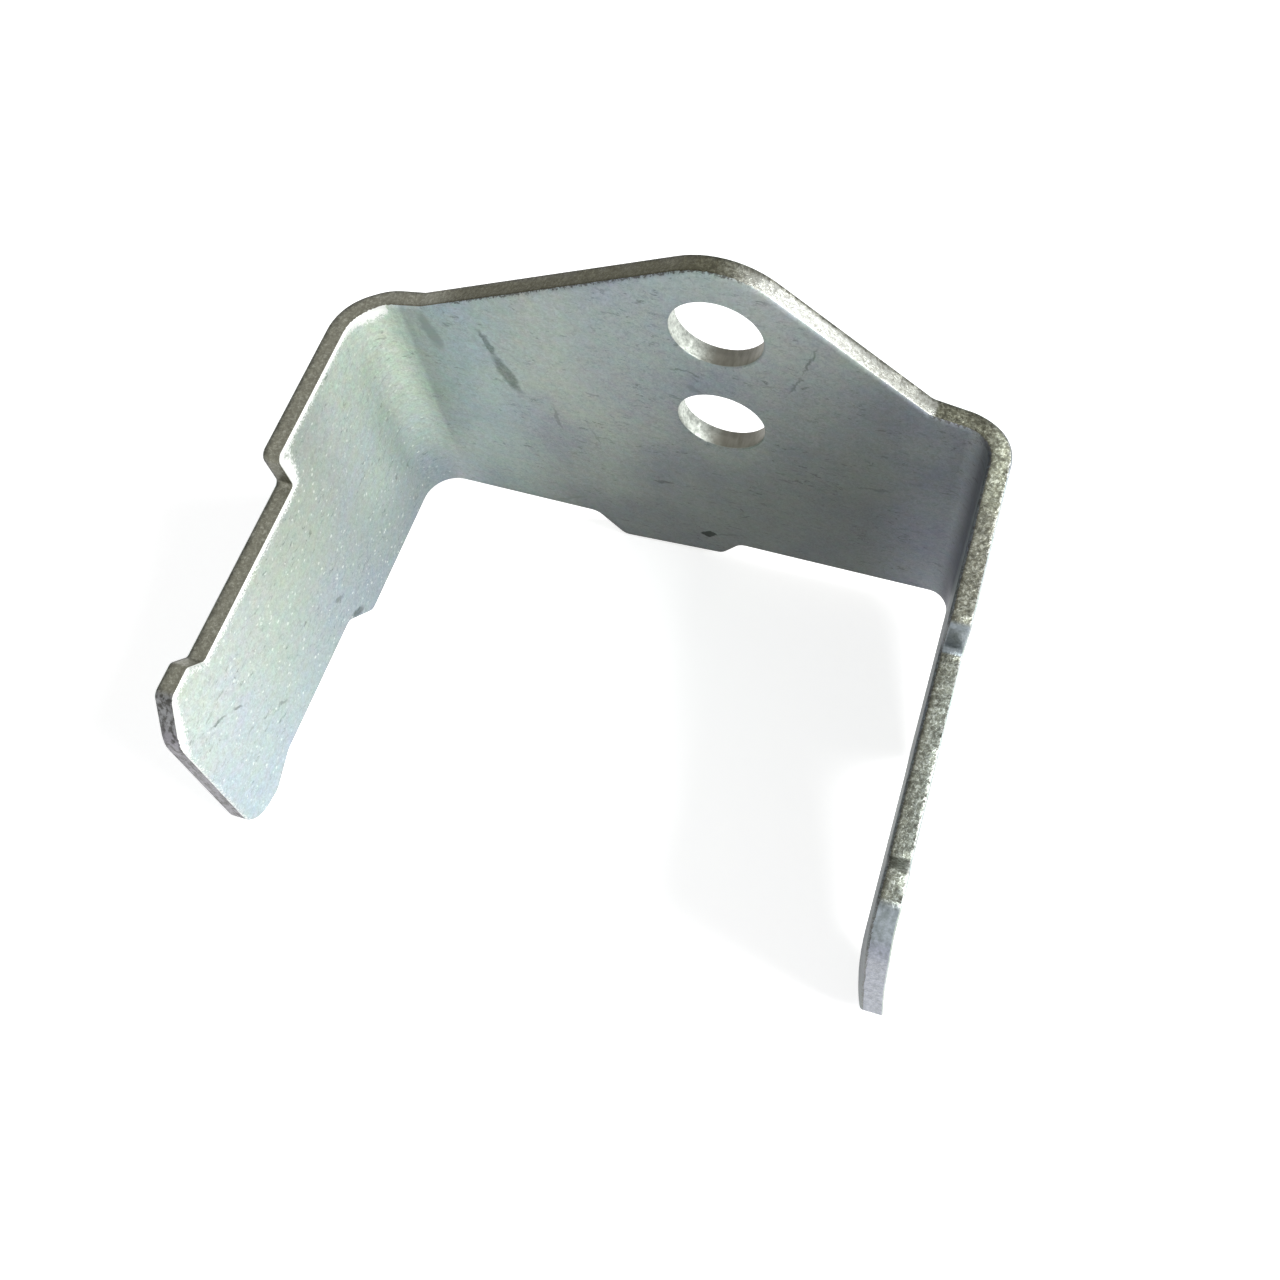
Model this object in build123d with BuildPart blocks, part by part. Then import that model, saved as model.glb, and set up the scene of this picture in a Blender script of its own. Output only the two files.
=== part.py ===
import os
from math import asin, atan2, cos, degrees, hypot, radians, sin, tan

from build123d import *

os.makedirs("parts", exist_ok=True)

# A two-legged clip bracket, blanked from one sheet and folded into a U. The upright web is bolted through
# two holes, and the two legs are notched tongues that push into slots.
# The origin is the middle of the two holes, on the web's outer face. +Z is up the web, the legs reach out
# along -Y, and X runs from the left leg to the right one.

# Sheet and folds
sheet = 1.5
left_bend = 2.8  # inside radii of the two folds
right_bend = 1.75
left_reach = 28.0  # hole line to the outer face of the left leg
right_reach = 20.0  # hole line to the outer face of the right leg
left_splay = 1.5  # degrees by which the left leg has sprung outwards
edge_roll = 0.3  # rounding that the die draws into the inner face
burr_break = 0.1  # what tumbling takes off the burr on the outer face

# Web, with heights above the lower edge
hole_diameter = 6.4
hole_pitch = 10.0
hole_roll = 0.2
holes_height = 23.0  # middle of the two holes
apex_radius = 6.0  # around the upper hole
left_foot_inset = 6.1  # from the leg's outer face in to the foot of the roof's slope
right_foot_inset = 5.8
roof_foot_rise = 0.8  # above the tops of the legs
roof_foot_radius = 1.0
root_inset = 2.1  # from the leg's outer face in to where the top edge levels out into the leg
root_radius = 6.0
tab_left = 11.7  # hole line to where the tab's left flank starts
tab_right = 1.0
tab_flank = 54.0  # degrees
tab_drop_left = 3.0
tab_drop_right = 2.2
tab_radius = 1.0

# Legs, with heights above the lower edge, reaches from the web's outer face and setbacks from the tip
leg_height = 23.4
shoulder_reach = 15.1
shoulder_radius = 0.7
recess_depth = 3.4  # below the top of the leg
recess_radius = 0.4
barb_rise = 1.5  # above the recess
barb_foot_setback = 6.8
barb_top_setback = 5.7
barb_corner_setback = 3.4
barb_radius = 0.8
nose_drop = 3.8  # below the top of the barb
nose_setback = 1.2
nose_radius = 4.0
tip_reach = 35.9
tip_height = 2.6
tip_radius = 2.6
heel_setback = 3.5
heel_height = 1.85
heel_start_setback = 6.5
heel_radius = 1.5
underside_height = 3.15
underside_start_reach = 17.9
underside_slope = 51.0  # degrees
underside_radius = 0.8

# The end of the right leg, knocked outwards about a line that leans away from the web
knock_reach = 29.5  # where the line starts at the lower edge
knock_lean = 8.5  # degrees
knock_radius = 15.0  # of the outer face

# Datums
lower_edge = -holes_height
upper_hole_z = hole_pitch / 2
leg_top_z = lower_edge + leg_height
roof_foot_z = leg_top_z + roof_foot_rise
recess_height = leg_height - recess_depth
barb_height = recess_height + barb_rise
clear = 5.0  # how far a cutting outline runs past the metal
tolerance = 0.01
blank_top = upper_hole_z + apex_radius + clear
blank_bottom = lower_edge - tab_drop_left - clear
leg_end = tip_reach + clear
knock_line = Vector(0, 0, 1).rotate(Axis.X, knock_lean)
knock_plane = Plane((0, -knock_reach, lower_edge), x_dir=(1, 0, 0), z_dir=knock_line)
knock_arc = degrees((leg_end - knock_reach) / knock_radius)
step_reach = underside_start_reach - underside_height / tan(radians(underside_slope))


def roof_pitch(foot_run):
    """Degrees by which the roof falls from the crown that it touches to a foot this far from the hole line."""
    drop = upper_hole_z - roof_foot_z
    return degrees(asin(apex_radius / hypot(foot_run, drop)) + atan2(drop, foot_run))


def leg_corner(reach, height):
    return (-reach, lower_edge + height)


def near(shapes, axis, position):
    return shapes.filter_by_position(axis, position - tolerance, position + tolerance)


def cut_corners(reach, height):
    across = bracket.edges().filter_by(Axis.X)
    return near(near(across, Axis.Y, -reach), Axis.Z, lower_edge + height)


def skin(*bend_radii):
    """The faces of one side of the folded strip: the web, the bends and the legs."""
    bends = bracket.faces().filter_by(
        lambda face: face.geom_type == GeomType.CYLINDER
        and abs(face.axis_of_rotation.direction.Z) > 0.5
        and any(abs(face.radius - bend_radius) < tolerance for bend_radius in bend_radii)
    )
    flats = bracket.faces().filter_by(GeomType.PLANE)
    return bends + flats.filter_by(lambda face: any(touches(face, bend) for bend in bends))


def touches(face, bend):
    return any(edge in bend.edges() for edge in face.edges().filter_by(GeomType.LINE))


def rim(faces):
    """The edges round a skin, without the seams between its faces."""
    edges = faces.edges()
    return edges.filter_by(lambda edge: edges.count(edge) == 1)


def is_hole_edge(edge):
    return edge.geom_type == GeomType.CIRCLE and abs(edge.radius - hole_diameter / 2) < tolerance


with BuildPart() as bracket:
    # The folded strip: its section from above, as tall as the blank
    with BuildSketch(Plane.XY.offset(blank_bottom)):
        with BuildLine():
            splay = radians(left_splay)
            FilletPolyline(
                (-left_reach - leg_end * sin(splay), -leg_end * cos(splay)),
                (-left_reach, 0),
                (right_reach, 0),
                (right_reach, -knock_reach),
                radius=[left_bend + sheet, right_bend + sheet],
            )
            offset(amount=-sheet, side=Side.RIGHT)
        make_face()
    extrude(amount=blank_top - blank_bottom)

    # The end of the right leg, square to the line that it was knocked about
    with BuildSketch(knock_plane):
        with BuildLine():
            flat_end = Line((right_reach, leg_height * tan(radians(knock_lean)) + clear), (right_reach, 0))
            JernArc(flat_end @ 1, flat_end % 1, knock_radius, knock_arc)
            offset(amount=-sheet, side=Side.RIGHT)
        make_face()
    extrude(amount=blank_top - blank_bottom, both=True)

    # The web's outline from the front: the roof around the upper hole, and the tab under it
    with BuildSketch(Plane.XZ) as web_outline:
        with BuildLine():
            left_foot = left_reach - left_foot_inset
            right_foot = right_reach - right_foot_inset
            crown_start = 90 - roof_pitch(right_foot)
            crown = CenterArc(
                (0, upper_hole_z), apex_radius, crown_start, roof_pitch(right_foot) + roof_pitch(left_foot)
            )
            left_slope = Line(crown @ 1, (-left_foot, roof_foot_z))
            right_slope = Line(crown @ 0, (right_foot, roof_foot_z))
            FilletPolyline(
                left_slope @ 1,
                (root_inset - left_reach, leg_top_z),
                (-left_reach - clear, leg_top_z),
                (-left_reach - clear, lower_edge),
                (-tab_left, lower_edge),
                (tab_drop_left / tan(radians(tab_flank)) - tab_left, lower_edge - tab_drop_left),
                (tab_right - tab_drop_right / tan(radians(tab_flank)), lower_edge - tab_drop_right),
                (tab_right, lower_edge),
                (right_reach + clear, lower_edge),
                (right_reach + clear, leg_top_z),
                (right_reach - root_inset, leg_top_z),
                right_slope @ 1,
                radius=[
                    root_radius,
                    0,
                    0,
                    tab_radius,
                    tab_radius,
                    tab_radius,
                    tab_radius,
                    0,
                    0,
                    root_radius,
                ],
            )
        make_face()
        fillet(near(web_outline.vertices(), Axis.Y, roof_foot_z), roof_foot_radius)
    extrude(amount=leg_end, both=True, mode=Mode.INTERSECT)

    # The legs' outline from the side: shoulder, recess, barb, nose, rounded tip, heel and raised underside
    with BuildSketch(Plane.YZ):
        with BuildLine():
            underside_run = (underside_height - (blank_bottom - lower_edge)) / tan(radians(underside_slope))
            FilletPolyline(
                (clear, blank_top),
                (-shoulder_reach, blank_top),
                leg_corner(shoulder_reach, recess_height),
                leg_corner(tip_reach - barb_foot_setback, recess_height),
                leg_corner(tip_reach - barb_top_setback, barb_height),
                leg_corner(tip_reach - barb_corner_setback, barb_height),
                leg_corner(tip_reach - nose_setback, barb_height - nose_drop),
                leg_corner(tip_reach, tip_height),
                leg_corner(tip_reach - heel_setback, heel_height),
                leg_corner(tip_reach - heel_start_setback, underside_height),
                leg_corner(underside_start_reach, underside_height),
                (underside_run - underside_start_reach, blank_bottom),
                (clear, blank_bottom),
                radius=[
                    0,
                    0,
                    recess_radius,
                    recess_radius,
                    recess_radius,
                    barb_radius,
                    nose_radius,
                    tip_radius,
                    heel_radius,
                    heel_radius,
                    underside_radius,
                    0,
                    0,
                ],
                close=True,
            )
        make_face()
    extrude(amount=left_reach + clear, both=True, mode=Mode.INTERSECT)

    # Corners that the two outlines make between them: each leg's shoulder, and the step under it
    fillet(cut_corners(shoulder_reach, leg_height), shoulder_radius)
    fillet(cut_corners(step_reach, 0), underside_radius)

    # The die draws the edge of the inner face round, and tumbling takes the burr off the outer face
    fillet(rim(skin(left_bend, right_bend, knock_radius + sheet)), edge_roll)
    chamfer(rim(skin(left_bend + sheet, right_bend + sheet, knock_radius)), burr_break)

    # The two bolt holes, punched through the web from the inside
    with Locations(Plane.XZ.offset(sheet)):
        with GridLocations(0, hole_pitch, 1, 2):
            Hole(hole_diameter / 2)
    hole_rims = near(bracket.edges().filter_by(is_hole_edge), Axis.Y, -sheet)
    fillet(hole_rims, hole_roll)

bracket.part.label = "bracket"
export_step(bracket.part, "parts/bracket.step")
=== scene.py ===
# %% [markdown]
# # A two-legged clip bracket, blanked and folded from zinc plated sheet
# The packed model is the frame that everything here is built on. It is loaded first, and its box is kept.

# %% Load the frame
import math

import bmesh
import bpy
from mathutils import Matrix, Vector, kdtree


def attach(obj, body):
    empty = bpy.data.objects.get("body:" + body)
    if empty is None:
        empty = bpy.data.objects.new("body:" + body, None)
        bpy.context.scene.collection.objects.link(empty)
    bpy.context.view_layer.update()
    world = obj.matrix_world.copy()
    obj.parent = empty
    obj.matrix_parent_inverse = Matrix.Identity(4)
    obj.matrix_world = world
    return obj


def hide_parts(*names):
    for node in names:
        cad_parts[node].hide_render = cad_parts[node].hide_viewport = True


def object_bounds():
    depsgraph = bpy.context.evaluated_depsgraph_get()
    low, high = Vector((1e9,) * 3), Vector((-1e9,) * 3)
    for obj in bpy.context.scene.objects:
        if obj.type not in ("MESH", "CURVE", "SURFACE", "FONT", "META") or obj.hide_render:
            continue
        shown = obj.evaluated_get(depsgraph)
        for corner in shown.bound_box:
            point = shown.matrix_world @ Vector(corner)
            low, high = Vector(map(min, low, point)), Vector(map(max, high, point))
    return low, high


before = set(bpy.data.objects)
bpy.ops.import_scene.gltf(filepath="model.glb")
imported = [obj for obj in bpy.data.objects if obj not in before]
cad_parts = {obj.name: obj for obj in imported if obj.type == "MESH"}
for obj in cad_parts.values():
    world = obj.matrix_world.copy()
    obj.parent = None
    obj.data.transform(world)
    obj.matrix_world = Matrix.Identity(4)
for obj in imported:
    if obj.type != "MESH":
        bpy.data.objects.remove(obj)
cad_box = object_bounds()
low, high = cad_box
mm = 0.001
print("bracket box in mm:", [round(side / mm, 1) for side in high - low])

# %% [markdown]
# ## The camera
# A short lens close to a small part makes the near leg look long. The camera looks down on the web from
# the right, tipped a little on its own axis, so its turns are written out instead of aimed at a target.

# %% Camera
camera = bpy.data.objects.new("camera", bpy.data.cameras.new("camera"))
camera.location = Vector((17.54, -50.36, 74.03)) * mm
camera.rotation_euler = [math.radians(turn) for turn in (23.988, 5.349, 17.938)]
camera.data.sensor_width = 36
camera.data.lens = 36.92
camera.data.clip_start = 1 * mm
bpy.context.scene.collection.objects.link(camera)
bpy.context.scene.camera = camera
print("camera", round((camera.location - (low + high) / 2).length / mm), "mm from the bracket")

# %% [markdown]
# ## The piece
# The bracket is one blank of sheet, punched out and folded. The packed mesh already has its outline, its
# folds and the rounded edge that the die leaves, but it is loose triangles, and its flats are single wide
# ones. A copy is merged into one skin, then sliced by a grid of planes a millimetre apart. That leaves the
# shape as it is, and gives the finish enough corners to carry measurements on.

# %% Merge and slice a copy


def merged_copy(node):
    """A copy of a packed mesh, with its loose triangles joined into one skin."""
    shape = bmesh.new()
    shape.from_mesh(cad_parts[node].data)
    bmesh.ops.remove_doubles(shape, verts=shape.verts, dist=1e-6)
    bmesh.ops.recalc_face_normals(shape, faces=shape.faces)
    return shape


def slice_by_grid(shape, step):
    """Cuts a mesh along planes square to each axis, a step apart."""
    for axis in range(3):
        across = Vector(float(axis == i) for i in range(3))
        for cut in range(math.ceil(low[axis] / step), math.ceil(high[axis] / step)):
            whole = shape.verts[:] + shape.edges[:] + shape.faces[:]
            bmesh.ops.bisect_plane(shape, geom=whole, dist=1e-7, plane_co=across * cut * step, plane_no=across)


blank = merged_copy("bracket")
slice_by_grid(blank, 1 * mm)
bmesh.ops.triangulate(blank, faces=blank.faces)
print("sliced into", len(blank.faces), "faces")

# %% [markdown]
# ## Depth in the sheet
# A punch and die leave bands along a cut edge: a smooth sheared one next to the face that the punch pressed
# on, and a torn, rough one beyond it. Both run round the whole part, through the folds, so each corner of
# the mesh has to know how deep in the sheet it lies. In the web that is straight across, in a fold it is
# out from the fold's axis, and the same goes for the leg end that was knocked outwards.

# %% Depth in the sheet
sheet = 1.5 * mm
left_face, left_radius = -28 * mm, 4.3 * mm  # the outer face of a leg, and the outer radius of its fold
right_face, right_radius = 20 * mm, 3.25 * mm
left_fold = Vector((left_face + left_radius, -left_radius, 0))
right_fold = Vector((right_face - right_radius, -right_radius, 0))
splay = math.radians(1.5)  # the left leg has sprung outwards
left_out = Vector((-math.cos(splay), math.sin(splay), 0))
right_out = Vector((1, 0, 0))
knock_lean, knock_radius = math.radians(8.5), 15 * mm
knock_line = Vector((0, -math.sin(knock_lean), math.cos(knock_lean)))
knock_axis = Vector((right_face + knock_radius, -29.5 * mm, -23 * mm))


def round_axis(place, axis, line):
    """The arm from a line to a place, square to the line."""
    arm = place - axis
    return arm - line * arm.dot(line)


def through(place):
    """The direction out of the sheet at a place, and the depth below its outer face."""
    up = Vector((0, 0, 1))
    if place.x < left_fold.x:
        arm = round_axis(place, left_fold, up)
        if arm.dot(up.cross(left_out)) > 0:
            return left_out, left_radius - arm.dot(left_out)
        return arm.normalized(), left_radius - arm.length
    if place.x > right_fold.x:
        knock = round_axis(place, knock_axis, knock_line)
        if knock.dot(knock_line.cross(right_out)) < 0:
            return -knock.normalized(), knock.length - knock_radius
        arm = round_axis(place, right_fold, up)
        if arm.y < 0:
            return right_out, right_radius - arm.x
        return arm.normalized(), right_radius - arm.length
    return Vector((0, 1, 0)), -place.y


depths = [through(corner.co)[1] / sheet for corner in blank.verts]
print("depth runs from", round(min(depths), 2), "to", round(max(depths), 2), "of the sheet")

# %% [markdown]
# ## Faces and edges
# Faces that look along the sheet are the cut edge, and the rest are its two skins. The walls of the bolt
# holes are cut too, but the punch wipes them smoother than the outline, so they get a finish of their own.

# %% Sort the faces
SKIN, CUT, BORE = 0, 1, 2
bore_reach = 3.5 * mm
bore_heights = (5 * mm, -5 * mm)
edge_on = 0.35  # below this a face looks along the sheet: 1 is a skin, 0 is square to it
blank.faces.ensure_lookup_table()
for face in blank.faces:
    face.smooth = True
    centre = face.calc_center_median()
    facing = abs(face.normal.dot(through(centre)[0]))
    if facing < edge_on:
        near_bore = min(math.hypot(centre.x, centre.z - height) for height in bore_heights) < bore_reach
        face.material_index = BORE if near_bore else CUT
print({kind: sum(face.material_index == kind for face in blank.faces) for kind in (SKIN, CUT, BORE)})

# %% [markdown]
# How far a place on a skin is from the cut edge matters as well: the painted highlight on the roll and the dark lines
# keep close to the rim. The distance is measured to the nearest point of the rim, where skin and cut meet. A k-d tree
# finds that point quickly among thousands. The rims of the bolt holes are left out.

# %% Distance from the rim
rim_step = 0.1 * mm
farthest = 3  # mm; no finish reaches further in
rim_points = []
for edge in blank.edges:
    kinds = {face.material_index for face in edge.link_faces}
    if kinds == {SKIN, CUT}:
        ends = [corner.co for corner in edge.verts]
        steps = max(2, math.ceil(edge.calc_length() / rim_step))
        rim_points += [ends[0].lerp(ends[1], i / steps) for i in range(steps + 1)]
rim_tree = kdtree.KDTree(len(rim_points))
for i, point in enumerate(rim_points):
    rim_tree.insert(point, i)
rim_tree.balance()
rims = [min(rim_tree.find(corner.co)[2] / mm, farthest) for corner in blank.verts]
print("rim points:", len(rim_points))

# %% [markdown]
# The die drew the upper edge of the left leg over its corner and rolled it, and a painted highlight lies along that
# roll. The highlight is narrow along the leg, and widens where the outline turns: at the fold, below the shoulder and
# round the barb. A width in millimetres is kept for each corner of the mesh, so that the finish can follow it.

# %% Width of the painted highlight on the roll
wide_rolls = (
    # middle of the turn, its reach, and the width of the painted highlight there, in mm
    ((-26.0, -1.5, 0.0), 3.4, 1.0),
    ((-26.8, -14.0, -1.4), 2.1, 1.9),
    ((-27.2, -32.4, -5.2), 3.2, 1.1),
)
top_width, nose_width = 0.30, 0.12


def roll_width(place):
    """The width of the painted highlight on the roll at a place, from the point of the rim that is nearest to it."""
    rim = rim_tree.find(place)[0] / mm
    on_top, on_nose = rim.z > -6, rim.y < -30.5 and rim.z > -19
    if rim.x > -24.6 or not (on_top or on_nose):
        return 0.0
    narrow = width = top_width if on_top else nose_width
    for middle, reach, widest in wide_rolls:
        near = 1 - min((rim - Vector(middle)).length / reach, 1)
        width = max(width, narrow + (widest - narrow) * near)
    return width


rolls = [roll_width(corner.co) for corner in blank.verts]
print("roll is up to", round(max(rolls), 2), "mm wide")

# %% [markdown]
# The sliced copy becomes the visible piece, and takes the place of the packed mesh. The three measures go with
# it as attributes, which a material can read. A Weighted Normal modifier lets the wide flat faces decide the
# shading of the corners, so that the flats stay even right up to the rounded edge.

# %% Make the piece
mesh = bpy.data.meshes.new("bracket_plated")
blank.to_mesh(mesh)
blank.free()
bracket = bpy.data.objects.new("bracket_plated", mesh)
bpy.context.scene.collection.objects.link(bracket)
for name, values in (("depth", depths), ("rim", rims), ("roll", rolls)):
    mesh.attributes.new(name, "FLOAT", "POINT").data.foreach_set("value", values)
soft = bracket.modifiers.new("even shading", "WEIGHTED_NORMAL")
soft.weight = 100
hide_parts("bracket")
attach(bracket, "root")
print("piece", bracket.name, "with", len(mesh.polygons), "triangles")

# %% [markdown]
# ## Finishes
# Three materials share the same steps: a place in millimetres, a noise at some size, a ramp that turns a
# value into a colour, and a mix. They are written once here, as a small class, so that each finish below
# reads as a recipe.

# %% Helpers for the finishes


class Finish:
    """A node material, with its nodes wired by name."""

    def __init__(self, name):
        self.material = bpy.data.materials.new(name)
        self.material.use_nodes = True
        tree = self.material.node_tree
        self.nodes, self.links = tree.nodes, tree.links
        self.shader = tree.nodes["Principled BSDF"]
        self.place = self.node("ShaderNodeMapping", Scale=(1 / mm,) * 3).outputs["Vector"]
        where = self.nodes.new("ShaderNodeTexCoord")
        self.links.new(where.outputs["Object"], self.place.node.inputs["Vector"])

    def node(self, kind, **inputs):
        made = self.nodes.new(kind)
        for name, value in inputs.items():
            self.feed(made.inputs[name.replace("_", " ")], value)
        return made

    def feed(self, socket, value):
        """Links an output to a socket, or sets the socket to a value."""
        if isinstance(value, bpy.types.NodeSocket):
            self.links.new(value, socket)
        else:
            socket.default_value = value

    def set(self, **inputs):
        for name, value in inputs.items():
            self.feed(self.shader.inputs[name.replace("_", " ")], value)

    def noise(self, per_mm, detail=4.0, rough=0.55, place=None, curl=0.0):
        """A noise with so many lumps to a millimetre; curl swirls it."""
        return self.node(
            "ShaderNodeTexNoise",
            Vector=place or self.place,
            Scale=per_mm,
            Detail=detail,
            Roughness=rough,
            Distortion=curl,
        )

    def stretched(self, scale, turn=(0, 0, 0)):
        """A squeezed and turned copy of the place, for a noise that has a direction."""
        return self.node("ShaderNodeMapping", Vector=self.place, Scale=scale, Rotation=turn).outputs["Vector"]

    def attribute(self, name):
        """A measure that the mesh carries."""
        made = self.nodes.new("ShaderNodeAttribute")
        made.attribute_name = name
        return made.outputs["Fac"]

    def axis(self, name):
        return self.node("ShaderNodeSeparateXYZ", Vector=self.place).outputs[name]

    def ramp(self, value, stops):
        """A colour for each value, from stops of a position and a colour."""
        made = self.node("ShaderNodeValToRGB", Fac=value)
        band = made.color_ramp.elements
        while len(band) < len(stops):
            band.new(0.5)
        for slot, (position, colour) in zip(band, stops):
            slot.position = position
            slot.color = (*colour, 1)
        return made.outputs["Color"]

    def fade(self, value, low_at, high_at, start=0.0, end=1.0):
        """Runs smoothly from start to end while the value runs from low_at to high_at."""
        made = self.node("ShaderNodeMapRange", Value=value)
        made.interpolation_type = "SMOOTHSTEP"
        for name, number in (("From Min", low_at), ("From Max", high_at), ("To Min", start), ("To Max", end)):
            made.inputs[name].default_value = number
        return made.outputs["Result"]

    def math(self, work, *values):
        made = self.nodes.new("ShaderNodeMath")
        made.operation = work
        for socket, value in zip(made.inputs, values):
            self.feed(socket, value)
        return made.outputs[0]

    def times(self, mask, *others):
        """The product of several masks: a place counts only where all of them do."""
        for other in others:
            mask = self.math("MULTIPLY", mask, other)
        return mask

    def mix(self, first, second, by, blend="MIX"):
        made = self.nodes.new("ShaderNodeMix")
        made.data_type = "RGBA"
        made.blend_type = blend
        sockets = [socket for socket in made.inputs if socket.type == "RGBA"] + [made.inputs[0]]
        for socket, value in zip(sockets, (first, second, by)):
            self.feed(socket, (*value, 1) if isinstance(value, tuple) else value)
        return [socket for socket in made.outputs if socket.type == "RGBA"][0]

    def shade(self, colour, tone, where):
        """Multiplies a colour by a tone, below 1 to darken and above 1 to lighten, where a mask says so."""
        return self.mix(colour, tone, where, "MULTIPLY")

    def bump(self, height, strength, distance):
        return self.node("ShaderNodeBump", Height=height, Strength=strength, Distance=distance * mm).outputs["Normal"]


def plain_grey(level):
    return (level, level, level)


print("helpers:", ", ".join(name for name in vars(Finish) if not name.startswith("_")))

# %% [markdown]
# ### Marks of handling
# Parts that tumble in a barrel leave short scratches and smudges on each other. A Gradient node set to
# Spherical is 1 at its middle and falls to 0 at a radius of 1, and a Mapping node of the Texture kind lays
# that ball where a mark is, turns it, and squeezes it to a spindle. A little noise added to the place
# first frays its outline.

# %% Marks
web_marks = (
    # one end, the other end (x and z on the web, in mm), half width, strength
    ((-17.6, 0.3), (-16.7, -2.9), 0.38, 1.2),
    ((-16.9, -2.6), (-15.7, -6.9), 0.75, 1.2),
    ((-21.9, 0.6), (-21.2, -3.2), 0.70, 0.7),
    ((-13.2, -7.5), (-12.9, -10.9), 0.22, 0.7),
    ((-10.4, -9.6), (-9.8, -12.0), 0.16, 0.5),
    ((-15.3, -22.5), (-12.2, -20.6), 0.22, 0.5),
    ((6.75, 6.2), (5.7, 2.6), 0.16, 1.0),
    ((5.75, 2.8), (4.9, 0.1), 0.14, 0.85),
    ((-2.0, -22.3), (-1.4, -22.1), 0.52, 4.5),
    ((-1.1, -22.1), (1.1, -21.1), 0.22, 0.6),
    ((-3.6, 0.35), (-2.0, 0.75), 0.13, 0.9),
    ((-2.4, 0.75), (-1.1, 0.0), 0.11, 0.9),
    ((-2.2, -1.2), (-1.2, -1.8), 0.35, 0.6),
    ((10.2, -9.5), (12.8, -9.0), 0.15, 0.6),
    ((-6.0, -15.4), (-4.3, -15.0), 0.30, 1.1),
)
leg_marks = (
    # the same on the left leg, as y and z
    ((-32.4, -7.4), (-30.7, -8.6), 0.20, 1.2),
    ((-30.2, -8.9), (-29.4, -10.2), 0.16, 1.1),
    ((-27.4, -15.0), (-26.6, -15.9), 0.25, 0.9),
    ((-18.1, -16.0), (-17.2, -16.7), 0.28, 0.9),
    ((-17.3, -19.9), (-16.2, -20.9), 0.50, 1.3),
    ((-31.0, -12.6), (-29.9, -12.9), 0.18, 0.6),
)


def spindle(finish, frayed, start, end, half_width, strength):
    """One mark: a ball laid between two points and squeezed to a spindle."""
    along = end - start
    turn = along.to_track_quat("X", "Z").to_euler()
    made = finish.node(
        "ShaderNodeMapping",
        Vector=frayed,
        Location=(start + end) / 2,
        Rotation=turn,
        Scale=(along.length / 2 + half_width, 1.0, half_width),
    )
    made.vector_type = "TEXTURE"
    ball = finish.node("ShaderNodeTexGradient", Vector=made.outputs["Vector"])
    ball.gradient_type = "SPHERICAL"
    return finish.fade(ball.outputs["Fac"], 0.0, 0.55, 0.0, strength)


def on_web_face(x, z):
    return Vector((x, -1.5, z))  # the inner face of the web, in mm


def on_leg_face(y, z):
    return Vector((-26.4 + y * 0.026, y, z))  # the inner face of the left leg, which is splayed


def all_marks(finish):
    """The strongest mark at each place."""
    fray = 0.9
    frayed = finish.nodes.new("ShaderNodeVectorMath")
    frayed.operation = "MULTIPLY_ADD"
    for socket, value in zip(frayed.inputs, (finish.noise(1.6, 3, 0.6).outputs["Color"], (fray,) * 3, finish.place)):
        finish.feed(socket, value)
    # Noise is 0.5 on average, so it moves each mark by half of the fray, and the marks are laid that much off.
    moved = Vector((fray / 2,) * 3)
    total = 0.0
    for marks, on_face in ((web_marks, on_web_face), (leg_marks, on_leg_face)):
        for start, end, half_width, strength in marks:
            ends = [on_face(*place) + moved for place in (start, end)]
            total = finish.math("MAXIMUM", spindle(finish, frayed.outputs[0], *ends, half_width, strength), total)
    return total


print(len(web_marks), "marks on the web and", len(leg_marks), "on the left leg")

# %% [markdown]
# ### Zinc plate
# Barrel plated zinc with a clear passivation is a soft light grey with a fine crystalline sparkle. The film is
# cloudy, and drifts between a faint green and a faint blue. Noises of three sizes make that: wide clouds that
# set the hue, blotches of a millimetre that tint it, and a fine grain that darkens it.

# %% Zinc plate
plate = Finish("zinc_plate")
clouds = plate.noise(0.13, 4, 0.55).outputs["Fac"]
tint = plate.ramp(clouds, [(0.36, (0.47, 0.54, 0.485)), (0.5, (0.485, 0.545, 0.52)), (0.64, (0.49, 0.545, 0.565))])
blotch = plate.noise(1.1, 4, 0.6).outputs["Color"]
tint = plate.mix(tint, blotch, 0.15, "OVERLAY")
grain = plate.noise(3.6, 3, 0.7, curl=1.2).outputs["Fac"]
colour = plate.shade(tint, plate.ramp(grain, [(0.34, plain_grey(0.72)), (0.66, plain_grey(1))]), 1.0)
print("zinc plate has", len(plate.nodes), "nodes so far")
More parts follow.
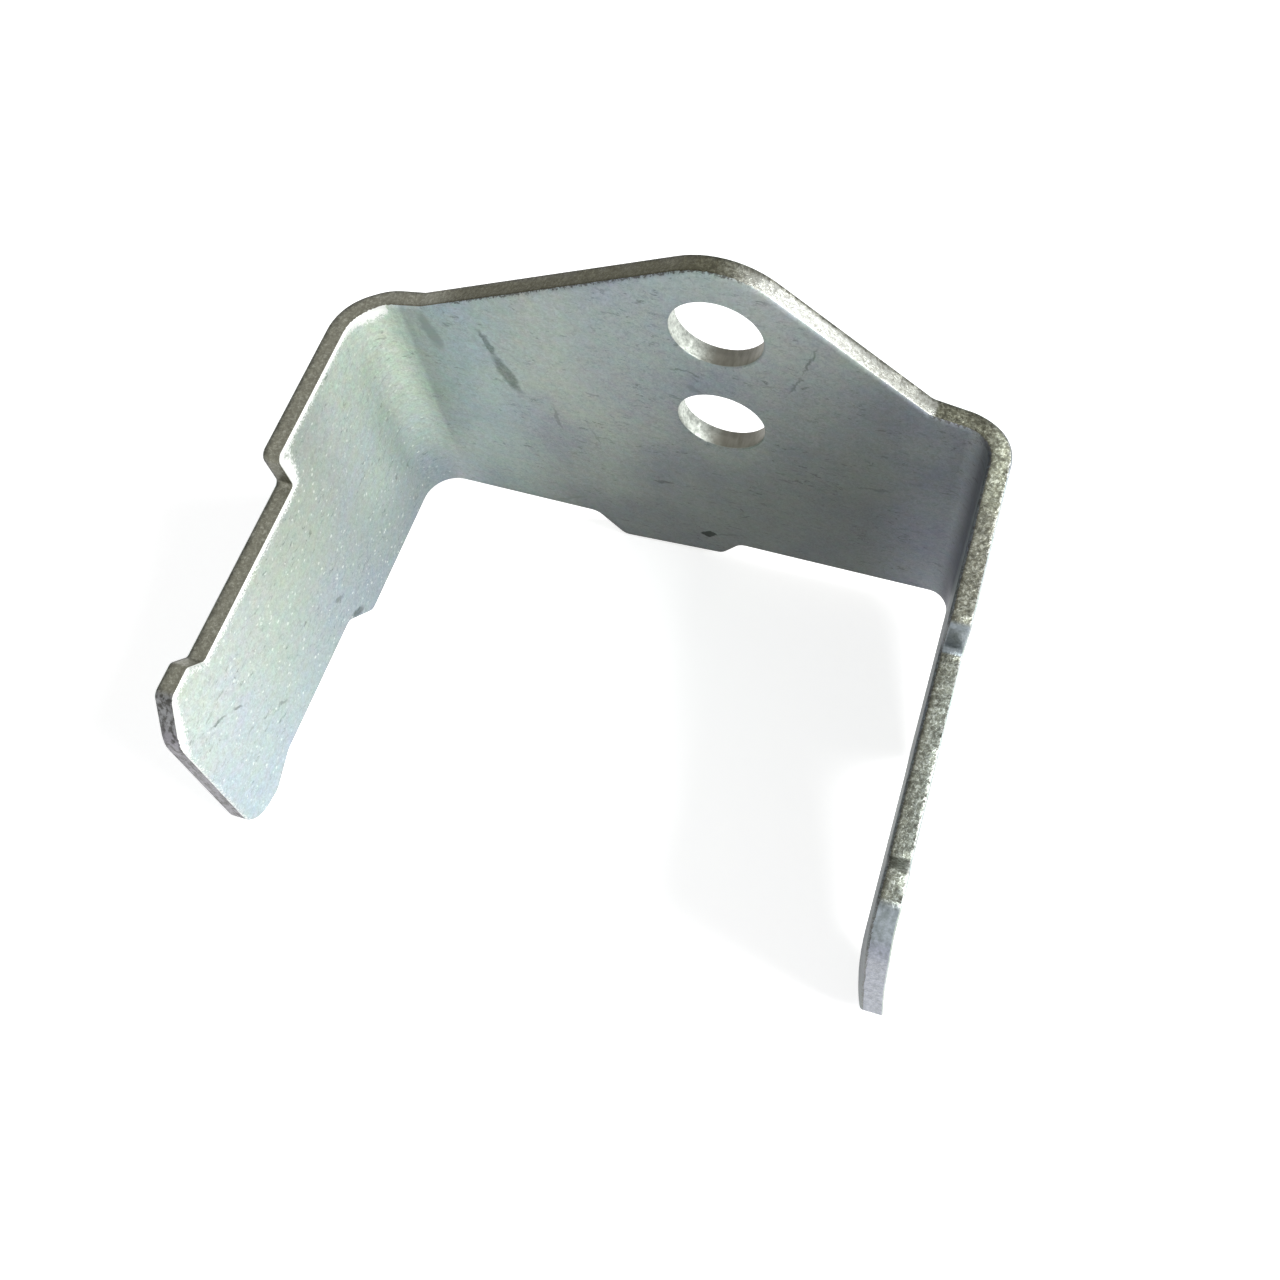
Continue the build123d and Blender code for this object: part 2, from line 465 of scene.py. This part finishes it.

# %% [markdown]
# Over the middle and the lower right of the web the colour is darker. Part of this is a stain where the bath dried
# last, and part is painted shade where the web looks down onto the shadowed floor. It's painted by place: a slope
# that rises to the right and downwards, with the clouds added so that its border wanders. A cooler film on the left,
# a shade under the peak and a violet film near the right fold lie over it. Each is a product of fades in millimetres,
# and multiplies the colour.

# %% Stain and painted shade of the web
x, y, z = (plate.axis(name) for name in "XYZ")
inner_face = plate.fade(plate.attribute("depth"), 0.5, 0.8)
web_front = plate.times(plate.fade(x, -24.5, -20), plate.fade(y, -5.5, -2.0), plate.fade(y, -0.6, -0.9))
slope = plate.math("ADD", plate.math("MULTIPLY", x, 0.036), plate.math("MULTIPLY", z, -0.046))
wave = plate.math("MULTIPLY", clouds, 0.5)
# Darker to the right and downwards: partly a stain, and partly painted shade from the shadowed floor.
stain_and_shade = plate.times(plate.fade(plate.math("ADD", slope, wave), -0.45, 1.20), web_front)
cool = plate.times(plate.fade(x, -13, -19), web_front)
under_peak = plate.times(plate.fade(x, -13, -8), plate.fade(x, 4, -1), plate.fade(z, -6, 1), web_front)
violet = plate.times(plate.fade(x, 10.5, 16.5), plate.fade(z, 4, -15, 0.35, 1.0), web_front)
for tone, where in (
    ((0.285, 0.292, 0.292), stain_and_shade),
    ((1.05, 1.13, 1.17), cool),
    ((0.82, 0.85, 0.91), under_peak),
    ((1.74, 1.67, 2.03), violet),
):
    colour = plate.shade(colour, tone, where)
print("zinc plate has", len(plate.nodes), "nodes with its stain")

# %% [markdown]
# The left leg is painted lighter and warmer towards its top as painted light. It is a little bluer lower down, darker
# near its fold and paler towards its end. Painted light brightens the leg beside its fold, up to a crisp line. The
# inside of the right leg faces away from the lamp and is painted dark as painted shade.

# %% Painted light and shade on the legs
on_left = plate.fade(x, -23.5, -25.5)
# Painted light: the left leg is lighter and warmer towards its top, and a little bluer lower down.
lit_towards_top = plate.ramp(plate.fade(z, -20, -3), [(0, (0.90, 0.96, 1.02)), (1, (1.16, 1.17, 1.10))])
outwards = plate.ramp(plate.fade(y, -14, -34), [(0, plain_grey(0.82)), (1, (1.10, 1.10, 1.12))])
# Painted light on the leg beside the left fold, up to a crisp line.
painted_fold_light = plate.times(plate.fade(y, -13, -6), plate.fade(z, -22, -12), plate.fade(x, -23.2, -23.8), inner_face)
# Painted shade on the inside of the right leg, which faces away from the lamp.
painted_channel_shade = plate.times(plate.fade(x, 17.2, 18.2), inner_face)
for tone, where in (
    (plate.shade(lit_towards_top, outwards, 1.0), on_left),
    ((1.42, 1.44, 1.38), painted_fold_light),
    ((0.34, 0.34, 0.37), painted_channel_shade),
):
    colour = plate.shade(colour, tone, where)
print("zinc plate has", len(plate.nodes), "nodes with its film")

# %% [markdown]
# Fine dark flecks lie all over, denser in some patches than in others, and slanted: their noise is squeezed and
# turned. The marks are broken up by the grain, and dull the gloss as well. On the inside of the left leg single
# crystals get a painted glint. A Voronoi pattern draws one number for each of its cells, and the highest ones get the
# painted glint.

# %% Flecks, marks and painted glints
flecks = plate.noise(1.0, 3, 0.75, plate.stretched((1.0, 1.0, 2.6), (0, 0.9, 0)), 0.8).outputs["Fac"]
patches = plate.fade(plate.noise(0.35, 3, 0.6).outputs["Fac"], 0.40, 0.60, 0.25, 1.0)
flecks = plate.times(plate.fade(flecks, 0.575, 0.67, 0.0, 0.45), patches)
broken = plate.fade(grain, 0.42, 0.56, 0.32, 0.55)
darkest = 0.92
dark = plate.math("MAXIMUM", plate.times(all_marks(plate), broken), flecks)
dark = plate.math("MINIMUM", dark, darkest)
colour = plate.shade(colour, (0.12, 0.15, 0.12), dark)
cells = plate.node("ShaderNodeTexVoronoi", Vector=plate.place, Scale=5.5)
drawn = plate.node("ShaderNodeSeparateXYZ", Vector=cells.outputs["Color"]).outputs["X"]
# Painted glints: whitish cells on the inside of the left leg.
painted_glint = plate.times(plate.fade(drawn, 0.965, 1.0, 0.0, 0.5), on_left, inner_face)
colour = plate.mix(colour, (0.90, 0.95, 0.88), painted_glint)
print("zinc plate has", len(plate.nodes), "nodes with its marks")

# %% [markdown]
# A thin, broken dark line follows the rim of the web's inner face and of the right leg, where a face meets the torn
# edge. It leaves out the right slope of the peak, which carries a painted highlight. Near its lower edge the web is a
# little darker.

# %% Dark line along the rim
rim, depth = plate.attribute("rim"), plate.attribute("depth")
gaps = plate.noise(4.5, 4, 0.75).outputs["Fac"]
reach = plate.fade(gaps, 0.36, 0.62, 0.0, 0.24)
line = plate.fade(plate.math("SUBTRACT", reach, rim), -0.02, 0.12, 0.0, 0.85)
off_slope = plate.math("ADD", plate.fade(x, 3.5, 1.0), plate.fade(x, 13.6, 14.4))
line = plate.times(line, plate.fade(depth, 0.6, 0.8), plate.fade(x, -20.5, -18.5), off_slope, plate.fade(z, -19, -17))
colour = plate.mix(colour, (0.055, 0.052, 0.045), line)
low_band = plate.times(plate.fade(rim, 1.0, 0.1), plate.fade(z, -18, -21), web_front)
colour = plate.shade(colour, (0.74, 0.73, 0.72), low_band)
print("zinc plate has", len(plate.nodes), "nodes with its grime")

# %% [markdown]
# The roll is burnished metal, smoother and a little lighter than the plate, and its brightness is mostly a painted
# highlight. The mask compares the distance from the rim with the width kept in the mesh, and noise makes its border
# ragged. The plate scatters most of its light, so it is only partly metallic: the low Metallic value lets the shaded
# web go dark by itself.

# %% Painted highlight on the roll
ragged = plate.math("MULTIPLY_ADD", plate.noise(6.0, 4, 0.85).outputs["Fac"], 2.6, -1.3)
width = plate.attribute("roll")
inside = plate.math("SUBTRACT", width, plate.math("ADD", rim, ragged))
# Painted highlight along the rolled rim of the left leg, partly the lighter burnished metal.
roll = plate.times(plate.fade(inside, -0.06, 0.10), plate.fade(width, 0.05, 0.15), inner_face)
colour = plate.mix(colour, (0.95, 0.97, 0.93), roll)
dull = plate.fade(clouds, 0.3, 0.7, 0.42, 0.54)
plate.set(
    Base_Color=colour,
    Metallic=0.4,
    Roughness=plate.math("SUBTRACT", dull, plate.math("MULTIPLY", roll, 0.12)),
    Specular_IOR_Level=plate.math("MULTIPLY", plate.math("SUBTRACT", 1.0, dark), 0.5),
    Normal=plate.bump(grain, 0.55, 0.02),
)
mesh.materials.append(plate.material)
print("zinc plate has", len(plate.nodes), "nodes")

# %% [markdown]
# ### Torn edge
# The edge of the blank is sheared for a fraction of the sheet and torn for the rest. Plate is thin there, so
# the steel shows through olive brown, with darker lips along both faces. The tear is coarse, and its small
# facets throw light in all directions: one noise gives them their colour, their gloss and their bump, and a
# second, stretched one lays streaks over them. The streaks also make the border of each lip wander.

# %% Torn edge
torn = Finish("torn_edge")
x, y, z = (torn.axis(name) for name in "XYZ")
streaks = torn.noise(1.0, 3, 0.6, torn.stretched((3.2, 3.2, 1.2))).outputs["Fac"]
coarse = torn.noise(4.6, 4, 0.72, curl=0.6).outputs["Fac"]
tint = torn.ramp(coarse, [(0.36, (0.14, 0.135, 0.105)), (0.50, (0.225, 0.23, 0.18)), (0.64, (0.50, 0.51, 0.44))])
tint = torn.shade(tint, torn.ramp(streaks, [(0.38, plain_grey(0.5)), (0.62, plain_grey(1.08))]), 0.9)
tint = torn.mix(tint, (0.185, 0.18, 0.14), torn.fade(x, 2, -2, 0.0, 0.6))
wander = torn.math("MULTIPLY_ADD", streaks, 0.24, torn.attribute("depth"))
lips = torn.ramp(
    torn.math("SUBTRACT", wander, 0.12),
    [
        (0.00, (0.40, 0.41, 0.43)),
        (0.16, plain_grey(0.9)),
        (0.30, plain_grey(1.1)),
        (0.74, plain_grey(1)),
        (0.92, (0.36, 0.34, 0.31)),
    ],
)
tint = torn.shade(tint, lips, 1.0)
print("torn edge has", len(torn.nodes), "nodes so far")

# %% [markdown]
# The tear isn't the same all round. The left slope of the peak is browner, and darker as painted shade on the side
# away from the lamp. The right slope carries a painted highlight, nearly white up to the foot of the slope. The fold
# next to it is dull on top and has a painted highlight round its side, and a painted highlight lies along the burr on
# the right leg's outer lip.

# %% Differences round the outline
# Painted shade on the left slope of the peak, which faces away from the lamp; it is browner too.
shaded_left_slope = torn.times(torn.fade(x, -21.5, -18), torn.fade(x, 2.2, -0.5))
tint = torn.shade(tint, (0.45, 0.44, 0.37), shaded_left_slope)
# Painted highlight on the right slope of the peak, nearly white up to its foot.
right_slope = torn.times(torn.fade(x, 0.8, 4.2), torn.fade(x, 14.7, 14.4), torn.fade(z, -2, 0))
slope_highlight = torn.times(right_slope, torn.fade(wander, 0.20, 0.42))
tint = torn.mix(tint, torn.ramp(coarse, [(0.36, (0.30, 0.30, 0.27)), (0.60, (0.60, 0.62, 0.585))]), slope_highlight)
slope_foot = torn.times(slope_highlight, torn.fade(x, 6, 12))
fold_top = torn.times(torn.fade(x, 14.4, 14.7), torn.fade(x, 19.2, 17.5))
# Painted highlight round the side of the right fold.
fold_side_highlight = torn.times(torn.fade(x, 18.0, 19.2), torn.fade(y, -8, -5))
outer_leg = torn.times(torn.fade(x, 18.0, 20.0), torn.fade(y, -12, -20))
for tone, where in (
    ((0.66, 0.66, 0.64), slope_foot),
    ((0.55, 0.55, 0.50), fold_top),
    ((1.60, 1.65, 1.60), fold_side_highlight),
    ((1.05, 1.13, 1.22), outer_leg),
):
    tint = torn.shade(tint, tone, where)
# Painted highlight along the burr on the outer lip of the right leg.
burr_highlight = torn.times(torn.fade(wander, 0.30, 0.12), torn.fade(x, 18.5, 20.0), torn.fade(coarse, 0.42, 0.56))
tint = torn.mix(tint, (0.88, 0.89, 0.83), burr_highlight)
print("torn edge has", len(torn.nodes), "nodes with its differences")

# %% [markdown]
# The ends of the legs, and the shoulder of the right one, are a bluish grey with streaks along the stroke of the
# punch. On the left leg the streaks are nearly black.

# %% Ends of the legs
shoulder = torn.times(torn.fade(x, 0, 1), torn.fade(y, -14.7, -15.0), torn.fade(y, -15.6, -15.4))
bluish_ends = torn.math("MAXIMUM", torn.fade(y, -31.9, -32.6), shoulder)
right_grey = torn.ramp(streaks, [(0.35, (0.17, 0.20, 0.21)), (0.65, (0.265, 0.30, 0.335))])
left_grey = torn.ramp(streaks, [(0.40, plain_grey(0.045)), (0.56, (0.20, 0.205, 0.215))])
grey = torn.mix(right_grey, left_grey, torn.fade(x, 0, -1))
grey = torn.shade(grey, (1.0, 0.94, 1.03), torn.fade(y, -33.6, -34.4))
tint = torn.mix(tint, grey, torn.math("MULTIPLY", bluish_ends, 0.9))
torn.set(
    Base_Color=tint,
    Metallic=0.85,
    Roughness=torn.fade(coarse, 0.35, 0.65, 0.46, 0.30),
    Normal=torn.bump(coarse, 0.9, 0.045),
)
mesh.materials.append(torn.material)
print("torn edge has", len(torn.nodes), "nodes")

# %% [markdown]
# ### Bore walls
# The hole punch fits its die closely, so it shears nearly all of the wall and burnishes it. What is left is
# an even brown with a light rim where it meets the inner face, and fine lines along the stroke of the punch.
# On their left, which faces the lamp, the walls are painted pale as painted light.

# %% Bore walls
bore = Finish("bore_wall")
lines = bore.noise(1.0, 3, 0.6, bore.stretched((2.6, 0.8, 2.6))).outputs["Fac"]
tint = bore.ramp(lines, [(0.3, (0.15, 0.145, 0.115)), (0.7, (0.22, 0.215, 0.18))])
mottle = bore.noise(3.6, 3, 0.7).outputs["Fac"]
lit_pale = bore.ramp(mottle, [(0.36, (0.36, 0.39, 0.35)), (0.6, (0.68, 0.72, 0.66))])
# Painted light on the left of the walls, which faces the lamp.
lit_left = bore.math("ADD", bore.axis("X"), bore.math("MULTIPLY", lines, 1.2))
tint = bore.mix(tint, lit_pale, bore.fade(lit_left, 0.6, -1.4))
tint = bore.mix(tint, (0.62, 0.66, 0.60), bore.fade(bore.attribute("depth"), 0.88, 0.98))
bore.set(Base_Color=tint, Metallic=0.7, Roughness=0.48, Normal=bore.bump(lines, 0.3, 0.03))
mesh.materials.append(bore.material)
print("bore wall has", len(bore.nodes), "nodes")

# %% [markdown]
# ## Floor and light
# The bracket stands on its tab and on the heels of its legs, so the floor passes under those and leans a
# little against the web. The lean is found by halving: where the floor leans too little the heels stay in
# the air, and where it leans too much the tab does.

# %% Lean of the floor
tab_side = [corner.co for corner in mesh.vertices if corner.co.y > -6 * mm]
heel_side = [corner.co for corner in mesh.vertices if corner.co.y < -15 * mm]


def lowest(part, lean):
    """How high the lowest corner of a part lies, measured square to a floor that leans."""
    up = Vector((0, math.sin(lean), math.cos(lean)))
    return min(up.dot(corner) for corner in part)


least, most = 0.0, math.radians(20)
for _ in range(20):
    lean = (least + most) / 2
    if lowest(heel_side, lean) > lowest(tab_side, lean):
        least = lean
    else:
        most = lean
print("floor leans", round(math.degrees(lean), 2), "degrees")

# %% Floor
floor_radius = 3  # metres
hairline = 0.02 * mm  # keeps the floor from cutting into the bracket
shape = bmesh.new()
bmesh.ops.create_circle(shape, cap_ends=True, segments=96, radius=floor_radius)
bmesh.ops.translate(shape, verts=shape.verts, vec=(0, 0, lowest(tab_side, lean) - hairline))
bmesh.ops.rotate(shape, verts=shape.verts, matrix=Matrix.Rotation(-lean, 3, "X"))
floor_mesh = bpy.data.meshes.new("floor")
shape.to_mesh(floor_mesh)
shape.free()
floor = bpy.data.objects.new("floor", floor_mesh)
bpy.context.scene.collection.objects.link(floor)
print("floor is", 2 * floor_radius, "m across")

# %% [markdown]
# The floor and the world around it are white. A Light Path node lets them be fully white where the camera,
# a mirror or glass looks at them, and much weaker where they light the bracket, so that the lamp does that
# and the floor still shows a soft shadow.

# %% White where it is looked at
floor_glow, sky_light = 0.74, 0.28


def seen_directly(nodes, links, hidden, seen):
    """A strength of one value for the camera, for mirrors and for glass, and another for soft light."""
    path = nodes.new("ShaderNodeLightPath")
    total = path.outputs["Is Camera Ray"]
    for ray in ("Is Glossy Ray", "Is Transmission Ray"):
        larger = nodes.new("ShaderNodeMath")
        larger.operation = "MAXIMUM"
        links.new(total, larger.inputs[0])
        links.new(path.outputs[ray], larger.inputs[1])
        total = larger.outputs[0]
    level = nodes.new("ShaderNodeMapRange")
    level.inputs["To Min"].default_value = hidden
    level.inputs["To Max"].default_value = seen
    links.new(total, level.inputs["Value"])
    return level.outputs["Result"]


paint = bpy.data.materials.new("pale_floor")
paint.use_nodes = True
nodes, links = paint.node_tree.nodes, paint.node_tree.links
nodes.remove(nodes["Principled BSDF"])
matt = nodes.new("ShaderNodeBsdfDiffuse")
matt.inputs["Color"].default_value = (*plain_grey(0.86), 1)
glow = nodes.new("ShaderNodeEmission")
both = nodes.new("ShaderNodeAddShader")
links.new(seen_directly(nodes, links, 0, floor_glow), glow.inputs["Strength"])
links.new(matt.outputs[0], both.inputs[0])
links.new(glow.outputs[0], both.inputs[1])
links.new(both.outputs[0], nodes["Material Output"].inputs["Surface"])
floor_mesh.materials.append(paint)
print("floor glows at", floor_glow)

# %% World
world = bpy.data.worlds.new("studio")
bpy.context.scene.world = world
world.use_nodes = True
nodes, links = world.node_tree.nodes, world.node_tree.links
nodes["Background"].inputs["Color"].default_value = (1, 1, 1, 1)
links.new(seen_directly(nodes, links, sky_light, 1), nodes["Background"].inputs["Strength"])
print("world lights the bracket at", sky_light, "and is seen at 1")

# %% [markdown]
# One soft lamp stands for a window on the right, a little behind the web and about a third of the way up.
# From there it reaches the inside of the left leg and the right half of the peak, and leaves the web to
# the light that comes back from the floor and the leg.

# %% Lamp


def soft_lamp(name, azimuth, elevation, distance, size, power):
    """An area lamp that faces the bracket from a direction, azimuth 0 being +X and 90 being +Y."""
    lamp = bpy.data.objects.new(name, bpy.data.lights.new(name, "AREA"))
    lamp.data.size = size
    lamp.data.energy = power
    a, e = math.radians(azimuth), math.radians(elevation)
    towards = Vector((math.cos(a) * math.cos(e), math.sin(a) * math.cos(e), math.sin(e)))
    lamp.location = (low + high) / 2 + towards * distance
    lamp.rotation_euler = towards.to_track_quat("Z", "Y").to_euler()
    bpy.context.scene.collection.objects.link(lamp)
    print("lamp", name, "of", power, "W at", [round(side / mm) for side in lamp.location], "mm")


soft_lamp("window", azimuth=5, elevation=35, distance=0.6, size=0.34, power=4.5)
bpy.context.scene.view_settings.view_transform = "Standard"

# %% [markdown]
